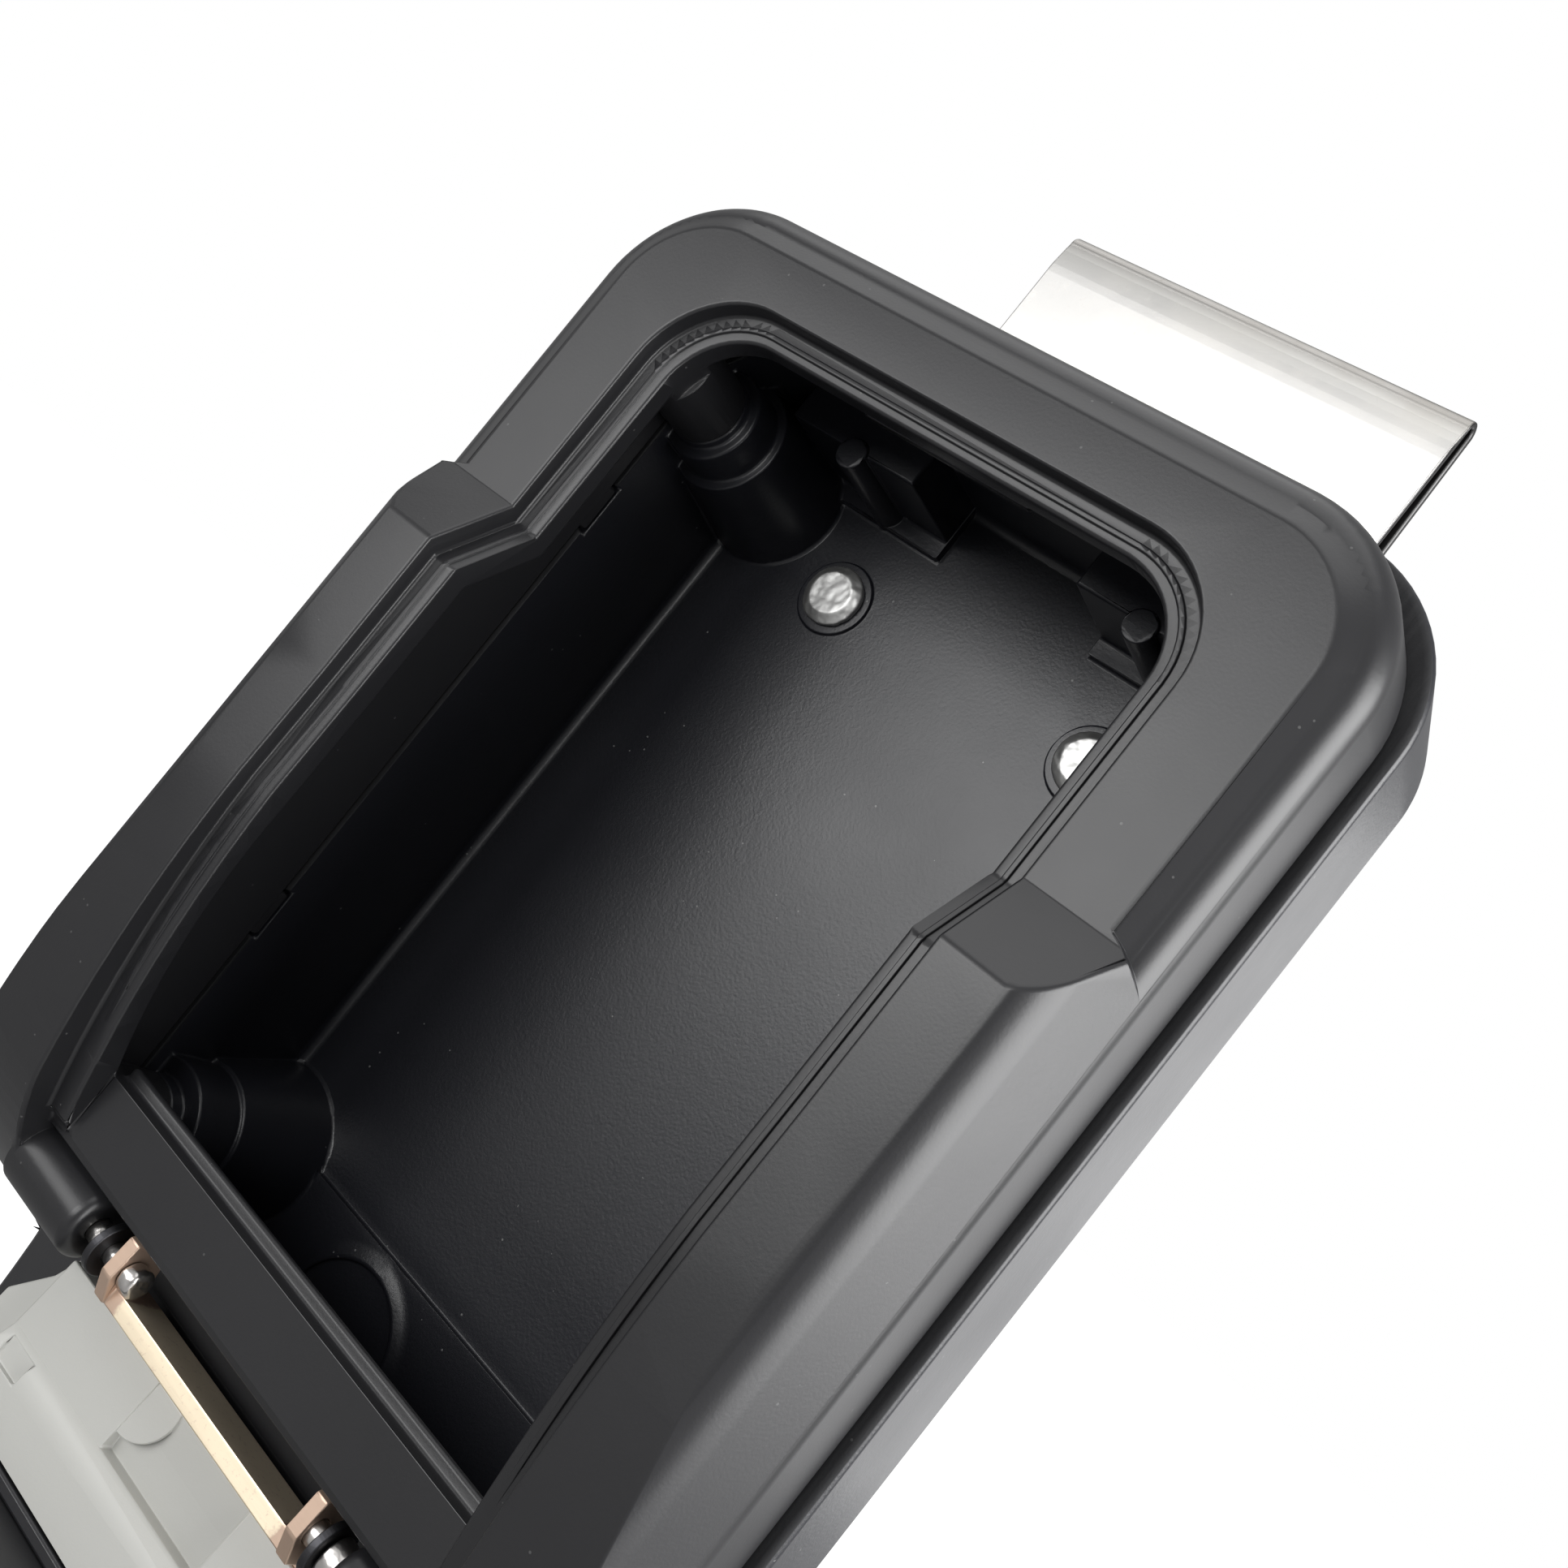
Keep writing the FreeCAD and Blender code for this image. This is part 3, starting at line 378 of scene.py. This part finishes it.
def softened(node_name, width, material, sharp=28.0):
    """The node's own shape with its loose faces joined and its edges rounded, in place of the node."""
    source = frame["nodes"][node_name]
    piece = bpy.data.objects.new(node_name + "_piece", source.data.copy())
    bpy.context.collection.objects.link(piece)
    pick(piece)
    bpy.ops.object.mode_set(mode="EDIT")
    bpy.ops.mesh.select_all(action="SELECT")
    bpy.ops.mesh.remove_doubles(threshold=0.000002)
    bpy.ops.object.mode_set(mode="OBJECT")
    bpy.ops.object.shade_smooth_by_angle(angle=math.radians(sharp))
    weights = piece.data.attributes.new("bevel_weight_edge", "FLOAT", "EDGE")
    for index, share in edge_widths(piece.data, width, math.radians(sharp)).items():
        weights.data[index].value = share
    rounding = piece.modifiers.new("rounding", "BEVEL")
    rounding.width = width
    rounding.segments = 2
    rounding.limit_method = "WEIGHT"
    rounding.use_clamp_overlap = False
    bpy.ops.object.modifier_apply(modifier="rounding")
    bpy.ops.object.shade_smooth_by_angle(angle=math.radians(40))
    flats = piece.modifiers.new("flats", "WEIGHTED_NORMAL")
    flats.weight = 100
    flats.keep_sharp = True
    bpy.ops.object.modifier_apply(modifier="flats")
    piece.data.materials.clear()
    piece.data.materials.append(material)
    stand_in(piece, node_name)
    return piece


def stand_in(piece, node_name):
    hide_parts(node_name)
    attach(piece, body_of(node_name))


def hammered(node_name, grain, dent, material):
    """The node's own shape with the uneven skin of a head struck over cold."""
    piece = bpy.data.objects.new(node_name + "_piece", frame["nodes"][node_name].data.copy())
    bpy.context.collection.objects.link(piece)
    pick(piece)
    bpy.ops.object.mode_set(mode="EDIT")
    bpy.ops.mesh.select_all(action="SELECT")
    bpy.ops.mesh.remove_doubles(threshold=0.000002)
    bpy.ops.object.mode_set(mode="OBJECT")
    skin = piece.modifiers.new("skin", "REMESH")
    skin.mode = "VOXEL"
    skin.voxel_size = grain
    skin.use_smooth_shade = True
    bpy.ops.object.modifier_apply(modifier="skin")
    rounded = piece.modifiers.new("rounded", "SMOOTH")
    rounded.iterations = 4
    bpy.ops.object.modifier_apply(modifier="rounded")
    clouds = bpy.data.textures.new(node_name + "_dents", "CLOUDS")
    clouds.noise_scale = 0.0019
    dents = piece.modifiers.new("dents", "DISPLACE")
    dents.texture = clouds
    dents.texture_coords = "LOCAL"
    dents.strength = dent
    bpy.ops.object.modifier_apply(modifier="dents")
    piece.data.materials.clear()
    piece.data.materials.append(material)
    stand_in(piece, node_name)
    return piece


# Stage
class LOCKBOX_OT_stage(bpy.types.Operator):
    """Floor, backdrop light, lamps and the camera"""
    bl_idname = "lockbox.stage"
    bl_label = "Stage and Camera"

    def execute(self, context):
        studio = context.scene.lockbox_studio
        low = CAD_BOX[0]
        clear_selection()
        bpy.ops.mesh.primitive_plane_add(size=6.0, location=(0.0, 0.0, low[2] - studio.floor_drop))
        floor = context.object
        floor.name = "studio_floor"
        floor.data.materials.append(self.floor_material())
        self.world(context, studio)
        self.lamp(context, "left_lamp", (-0.43, -0.53, -0.04), (0.26, 0.30), studio.left_power)
        self.lamp(context, "right_lamp", (-0.21, -0.66, -0.01), (0.26, 0.30), studio.right_power)
        self.lamp(context, "ridge_lamp", (0.08, -0.70, 0.02), (0.22, 0.30), studio.ridge_power)
        self.lamp(context, "top_lamp", (-0.15, -0.2, 0.6), (0.9, 0.6), studio.top_power)
        self.lamp(context, "side_lamp", (0.62, 0.0, 0.0), (0.55, 0.55), studio.side_power)
        self.lamp(context, "rear_lamp", (0.22, 0.6, -0.12), (0.45, 0.45), studio.rear_power)
        self.camera(context)
        context.scene.view_settings.view_transform = "Standard"
        return {"FINISHED"}

    def floor_material(self):
        made, tree, shader = finish_material("floor_white", (0.25, 0.25, 0.25), 0.8)
        light = node(tree, "ShaderNodeEmission")
        light.inputs["Color"].default_value = (1.0, 1.0, 1.0, 1.0)
        tree.links.new(self.white_seen(tree, 0.99, 0.05), light.inputs["Strength"])
        both = tree.nodes.new("ShaderNodeAddShader")
        tree.links.new(shader.outputs[0], both.inputs[0])
        tree.links.new(light.outputs[0], both.inputs[1])
        tree.links.new(both.outputs[0], tree.nodes["Material Output"].inputs["Surface"])
        return made

    def white_seen(self, tree, straight, mirrored):
        """How white the surroundings are, seen straight and seen in a reflection or through glass."""
        path = tree.nodes.new("ShaderNodeLightPath")
        bounced = maths(tree, "MAXIMUM", path.outputs["Is Glossy Ray"], path.outputs["Is Transmission Ray"])
        return maths(tree, "MAXIMUM", maths(tree, "MULTIPLY", path.outputs["Is Camera Ray"], straight),
                     maths(tree, "MULTIPLY", bounced, mirrored))

    def world(self, context, studio):
        world = bpy.data.worlds.new("studio_world")
        context.scene.world = world
        world.use_nodes = True
        tree = world.node_tree
        back = tree.nodes["Background"]
        back.inputs["Color"].default_value = (1.0, 1.0, 1.0, 1.0)
        seen = self.white_seen(tree, 1.0, studio.mirror_strength)
        tree.links.new(maths(tree, "MAXIMUM", seen, studio.world_strength), back.inputs["Strength"])

    def lamp(self, context, name, place, size, power):
        clear_selection()
        bpy.ops.object.light_add(type="AREA", location=place)
        lamp = context.object
        lamp.name = name
        lamp.data.shape = "RECTANGLE"
        lamp.data.size, lamp.data.size_y = size
        lamp.data.energy = power
        lamp.visible_camera = False
        aim = Vector((0.0, -0.02, -0.12)) - Vector(place)
        lamp.rotation_euler = aim.to_track_quat("-Z", "Y").to_euler()

    def camera(self, context):
        clear_selection()
        bpy.ops.object.camera_add()
        camera = context.object
        camera.name = "photo_camera"
        camera.data.sensor_width = 36.0
        camera.data.lens = 36.0 * FOCAL_PIXELS / PHOTO_SIZE
        camera.data.clip_start = 0.01
        right = Vector((0.688848, 0.368889, 0.624026))
        up = Vector((-0.527251, -0.335815, 0.780535))
        back = Vector((0.497488, -0.866689, -0.036828))
        place = Vector((0.091971, -0.183186, -0.090992))
        camera.matrix_world = Matrix((
            (right.x, up.x, back.x, place.x), (right.y, up.y, back.y, place.y),
            (right.z, up.z, back.z, place.z), (0.0, 0.0, 0.0, 1.0)))
        context.scene.camera = camera


# Finishes
def plated(name, colour, cut_colour):
    """Yellow plated sheet whose bent ends and cut edges have gone pinkish brown."""
    made, tree, shader = finish_material(name, colour, 0.42, metallic=0.75)
    lines = place_group(tree, "brush_lines", Stretch=(1.0, 30.0, 30.0))
    tone = place_group(tree, "tone_and_dust", Colour=(*colour, 1.0), Spread=0.5, Dust=0.1)
    split = node(tree, "ShaderNodeSeparateXYZ")
    tree.links.new(node(tree, "ShaderNodeTexCoord").outputs["Object"], split.inputs[0])
    place = node(tree, "ShaderNodeTexCoord").outputs["Object"]
    wander = maths(tree, "MULTIPLY", maths(tree, "SUBTRACT", noise(tree, place, 900.0, 4.0, 0.6), 0.5), 0.002)
    along = maths(tree, "ADD", maths(tree, "ABSOLUTE", split.outputs["X"]), wander)
    end = ramp(tree, maths(tree, "MULTIPLY", maths(tree, "SUBTRACT", along, 0.0155), 1000.0), [(0.2, (0, 0, 0)), (0.8, (1, 1, 1))])
    worn = ramp(tree, noise(tree, place, 1500.0, 5.0, 0.7), [(0.58, (0, 0, 0)), (0.66, (1, 1, 1))])
    mask = maths(tree, "MAXIMUM", maths(tree, "MULTIPLY", end, 0.85), maths(tree, "MULTIPLY", worn, 0.35))
    mix = node(tree, "ShaderNodeMix", {"data_type": "RGBA"})
    tree.links.new(mask, mix.inputs["Factor"])
    tree.links.new(tone.outputs["Colour"], mix.inputs["A"])
    mix.inputs["B"].default_value = (*cut_colour, 1.0)
    tree.links.new(mix.outputs["Result"], shader.inputs["Base Color"])
    bumped(tree, shader, lines.outputs["Height"], 0.25, 0.00004)
    return made


def smudged_steel(name, colour):
    """Satin sheet with rubbed patches where it has lain against glass and hands, with painted shade at the fold and
    between the leaves.
    """
    made, tree, shader = finish_material(name, colour, 0.34, metallic=1.0)
    place = node(tree, "ShaderNodeTexCoord").outputs["Object"]
    lines = place_group(tree, "brush_lines", Stretch=(60.0, 60.0, 1.0))
    patches = ramp(tree, noise(tree, place, 60.0, 6.0, 0.62), [(0.46, (0, 0, 0)), (0.72, (1, 1, 1))])
    flecks = ramp(tree, noise(tree, place, 700.0, 4.0, 0.7), [(0.60, (0, 0, 0)), (0.70, (1, 1, 1))])
    amount = maths(tree, "MAXIMUM", maths(tree, "MULTIPLY", patches, 0.4), maths(tree, "MULTIPLY", flecks, 0.25))
    split = node(tree, "ShaderNodeSeparateXYZ")
    tree.links.new(place, split.inputs[0])
    across, deep, high = (split.outputs[axis] for axis in "XYZ")
    # Painted shade: the colour darkens towards the crest of the fold
    fold_shade = ramp(tree, maths(tree, "MULTIPLY_ADD", high, 150.0, 0.85), [(0.0, (1, 1, 1)), (0.5, (0.8, 0.8, 0.79)), (0.85, (0.42, 0.41, 0.40)), (1.0, (0.22, 0.22, 0.21))])
    # Sheared edges are dark; the faces of the two leaves that face each other are darkened as painted shade for the
    # narrow gap between them
    edge = maths(tree, "GREATER_THAN", maths(tree, "ABSOLUTE", across), HOOK_HALF - 0.0001)
    lean = maths(tree, "MULTIPLY_ADD", high, -HOOK_SPREAD, 0.0010)
    leaf_gap_shade = maths(tree, "MULTIPLY", maths(tree, "GREATER_THAN", deep, -0.0009), maths(tree, "LESS_THAN", deep, lean))
    leaf_gap_shade = maths(tree, "MULTIPLY", leaf_gap_shade, maths(tree, "LESS_THAN", high, 0.0003))
    dark = maths(tree, "MULTIPLY", maths(tree, "MAXIMUM", edge, leaf_gap_shade), 0.93)
    mix = node(tree, "ShaderNodeMix", {"data_type": "RGBA"})
    mix.inputs["A"].default_value = (*colour, 1.0)
    mix.inputs["B"].default_value = (0.60, 0.57, 0.52, 1.0)
    tree.links.new(amount, mix.inputs["Factor"])
    # Multiplies the painted shade of the fold into the colour
    bent = node(tree, "ShaderNodeMix", {"data_type": "RGBA", "blend_type": "MULTIPLY"}, Factor=1.0)
    tree.links.new(mix.outputs["Result"], bent.inputs["A"])
    tree.links.new(fold_shade, bent.inputs["B"])
    # Mixes in the dark sheared edges and the painted shade between the leaves
    cut = node(tree, "ShaderNodeMix", {"data_type": "RGBA"})
    tree.links.new(dark, cut.inputs["Factor"])
    tree.links.new(bent.outputs["Result"], cut.inputs["A"])
    cut.inputs["B"].default_value = (0.03, 0.03, 0.032, 1.0)
    tree.links.new(cut.outputs["Result"], shader.inputs["Base Color"])
    tree.links.new(maths(tree, "MULTIPLY_ADD", amount, 0.25, 0.36), shader.inputs["Roughness"])
    bumped(tree, shader, lines.outputs["Height"], 0.18, 0.00003)
    return made


class LOCKBOX_OT_case_finish(bpy.types.Operator):
    """Front ring, cast tub, the seal between them and the pad on the back"""
    bl_idname = "lockbox.case_finish"
    bl_label = "Case Finish"

    def execute(self, context):
        finish = context.scene.lockbox_finish
        softened("front_housing", 0.00045, moulded("ring_plastic", finish.front_colour, 0.36, dust=0.12))
        softened("back_housing", 0.0004, self.cast_paint(finish.cast_colour))
        rubber = moulded("seal_rubber", (0.012, 0.012, 0.012), 0.75, dust=0.1)
        softened("back_pad", 0.0004, rubber)
        dress(["seam_seal"], rubber)
        return {"FINISHED"}

    def cast_paint(self, colour):
        """Black paint, smooth in the tub and dry and rough on the narrow ledge at the seam, where its colour is also
        darkened as painted shade.
        """
        paint = moulded("cast_paint", colour, 0.36, fine=2300.0, coarse=520.0, share=0.5,
                        depth=0.00007, strength=0.35, dust=0.3)
        tree = paint.node_tree
        shader = tree.nodes["Principled BSDF"]
        place = node(tree, "ShaderNodeTexCoord").outputs["Object"]
        split = node(tree, "ShaderNodeSeparateXYZ")
        tree.links.new(place, split.inputs[0])
        ledge = ramp(tree, maths(tree, "MULTIPLY_ADD", split.outputs["Y"], 1000.0, 30.0),
                     [(0.0, (1, 1, 1)), (0.9, (1, 1, 1)), (1.0, (0, 0, 0))])
        streaks = place_group(tree, "brush_lines", Stretch=(40.0, 3.0, 3.0), Size=40.0)
        rough = shader.inputs["Roughness"].links[0].from_socket
        uneven = maths(tree, "MULTIPLY_ADD", streaks.outputs["Height"], 0.5, 0.2)
        tree.links.new(maths(tree, "MULTIPLY_ADD", ledge, uneven, rough), shader.inputs["Roughness"])
        tone = shader.inputs["Base Color"].links[0].from_socket
        # Painted shade: the ledge's colour is mixed towards near black
        mix = node(tree, "ShaderNodeMix", {"data_type": "RGBA"})
        tree.links.new(maths(tree, "MULTIPLY", ledge, 0.7), mix.inputs["Factor"])
        tree.links.new(tone, mix.inputs["A"])
        mix.inputs["B"].default_value = (0.002, 0.002, 0.0025, 1.0)
        tree.links.new(mix.outputs["Result"], shader.inputs["Base Color"])
        return paint


class LOCKBOX_OT_steel_finish(bpy.types.Operator):
    """Hook, rivets, bracket, pins, screws and latch"""
    bl_idname = "lockbox.steel_finish"
    bl_label = "Steel Finish"

    def execute(self, context):
        finish = context.scene.lockbox_finish
        softened("window_hook", 0.00025, smudged_steel("hook_steel", finish.hook_colour))
        rivet = brushed("rivet_steel", (0.55, 0.55, 0.54), 0.45, (8.0, 8.0, 8.0), strength=0.5, spread=0.7, dust=0.2)
        hammered("hook_rivets", 0.0002, 0.00028, rivet)
        softened("hinge_bracket", 0.0002, plated("bracket_plate", finish.plate_colour, finish.cut_colour))
        plain = brushed("plate_rivet", finish.plate_colour, 0.34, (8.0, 8.0, 8.0))
        softened("bracket_rivets", 0.00025, plain)
        hammered("hinge_pins", 0.00014, 0.0003, brushed("pin_steel", (0.62, 0.60, 0.58), 0.3, (8.0, 8.0, 8.0), strength=0.4, spread=0.4))
        softened("pin_washers", 0.00015, brushed("washer_steel", (0.06, 0.06, 0.065), 0.45, (8.0, 8.0, 8.0)))
        screw = brushed("screw_steel", (0.50, 0.50, 0.50), 0.35, (8.0, 8.0, 8.0))
        for name in ("case_screws", "strike_screws", "pan_screws"):
            softened(name, 0.00012, screw)
        dress(["dial_axle"], screw)
        bright = brushed("latch_steel", (0.62, 0.62, 0.62), 0.3, (60.0, 1.0, 60.0))
        softened("latch_bolt", 0.00022, bright)
        # Painted shade: the strike plate is coloured near black so that it looks shaded under the lip
        softened("latch_strike", 0.00022, brushed("strike_painted_shade", (0.04, 0.04, 0.043), 0.4, (1.0, 40.0, 40.0)))
        dress(["lock_bar", "latch_springs", "detent_spring"], bright)
        dress(["code_cam_1", "code_cam_2", "code_cam_3", "code_cam_4"],
              brushed("cam_brass", (0.72, 0.53, 0.25), 0.3, (1.0, 40.0, 40.0)))
        return {"FINISHED"}


class LOCKBOX_OT_lid_finish(bpy.types.Operator):
    """Lid, its inside, the dials and the controls"""
    bl_idname = "lockbox.lid_finish"
    bl_label = "Lid Finish"

    def execute(self, context):
        finish = context.scene.lockbox_finish
        softened("hinge_cover", 0.0003, moulded("cover_grey", finish.cover_colour, 0.42, dust=0.1, spread=0.08))
        softened("lid_shell", 0.0004, moulded("lid_black", (0.02, 0.02, 0.022), 0.3, coat=0.15, dust=0.1))
        pan = moulded("pan_black", (0.025, 0.025, 0.027), 0.5, fine=1800.0, depth=0.00006)
        softened("inner_pan", 0.0004, pan)
        dress(["latch_guide"], pan)
        trim = moulded("trim_grey", (0.10, 0.10, 0.105), 0.45)
        for name in ("dial_bezel", "release_slider", "code_lever"):
            softened(name, 0.0002, trim)
        satin = moulded("dial_black", (0.022, 0.022, 0.024), 0.35)
        for number in range(1, 5):
            softened("dial_" + str(number), 0.00018, satin)
        return {"FINISHED"}


class LOCKBOX_OT_dial_numbers(bpy.types.Operator):
    """Raised numbers 0 to 9 round each of the four dials"""
    bl_idname = "lockbox.dial_numbers"
    bl_label = "Dial Numbers"

    def execute(self, context):
        paint, tree, shader = finish_material("number_paint", (0.75, 0.75, 0.73), 0.5)
        worn = ramp(tree, noise(tree, node(tree, "ShaderNodeTexCoord").outputs["Object"], 1400.0, 4.0, 0.6),
                    [(0.35, (0.45, 0.45, 0.44)), (0.6, (0.75, 0.75, 0.73))])
        tree.links.new(worn, shader.inputs["Base Color"])
        for number in range(1, 5):
            low, high = (Vector(corner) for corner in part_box("dial_" + str(number)))
            figures = [self.figure(context, digit, low, high) for digit in range(10)]
            clear_selection()
            for figure in figures:
                figure.select_set(True)
            context.view_layer.objects.active = figures[0]
            bpy.ops.object.join()
            band = context.object
            band.name = "dial_%d_numbers" % number
            band.data.materials.clear()
            band.data.materials.append(paint)
            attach(band, "dial_%d_body" % number)
        return {"FINISHED"}

    def figure(self, context, digit, low, high):
        """One digit standing on the flat between two grooves; 0 faces the window with the lid hanging open."""
        clear_selection()
        bpy.ops.object.text_add()
        text = context.object
        text.data.body = str(digit)
        text.data.size = 0.0052
        text.data.extrude = 0.0002
        text.data.resolution_u = 3
        text.data.align_x = "CENTER"
        text.data.align_y = "CENTER"
        bpy.ops.object.convert(target="MESH")
        piece = context.object
        turn = math.radians(180.0 - 36.0 * digit)
        out = Vector((0.0, math.cos(turn), math.sin(turn)))
        up = Vector((0.0, math.sin(turn), -math.cos(turn)))
        right = up.cross(out)
        upright = Matrix((right, up, out)).transposed().to_4x4()
        tilt = Matrix.Rotation(math.radians(LID_OPEN), 4, "X")
        middle = (low + high) / 2
        radius = (high.z - low.z) / 2
        piece.matrix_world = Matrix.Translation(middle) @ tilt @ upright @ Matrix.Translation((0.0, 0.0, radius - 0.00015))
        bpy.ops.object.transform_apply(location=True, rotation=True, scale=True)
        return piece


class LOCKBOX_PT_panel(bpy.types.Panel):
    """Lists the operators and the settings they read"""
    bl_idname = "LOCKBOX_PT_panel"
    bl_label = "Car Key Lockbox"
    bl_space_type = "VIEW_3D"
    bl_region_type = "UI"
    bl_category = "Lockbox"

    def draw(self, context):
        layout = self.layout
        for group in (context.scene.lockbox_finish, context.scene.lockbox_studio):
            box = layout.box()
            for name in group.__annotations__:
                box.prop(group, name)
        for operator in OPERATORS:
            layout.operator(operator.bl_idname)


OPERATORS = (LOCKBOX_OT_case_finish, LOCKBOX_OT_steel_finish, LOCKBOX_OT_lid_finish, LOCKBOX_OT_dial_numbers,
             LOCKBOX_OT_stage)
CLASSES = (LockboxFinish, LockboxStudio) + OPERATORS + (LOCKBOX_PT_panel,)


def register():
    for made in CLASSES:
        bpy.utils.register_class(made)
    bpy.types.Scene.lockbox_finish = bpy.props.PointerProperty(type=LockboxFinish)
    bpy.types.Scene.lockbox_studio = bpy.props.PointerProperty(type=LockboxStudio)


def unregister():
    del bpy.types.Scene.lockbox_studio
    del bpy.types.Scene.lockbox_finish
    for made in reversed(CLASSES):
        bpy.utils.unregister_class(made)


def main():
    register()
    build_groups()
    for operator in OPERATORS:
        kind, name = operator.bl_idname.split(".")
        getattr(getattr(bpy.ops, kind), name)()


if __name__ == "__main__":
    main()
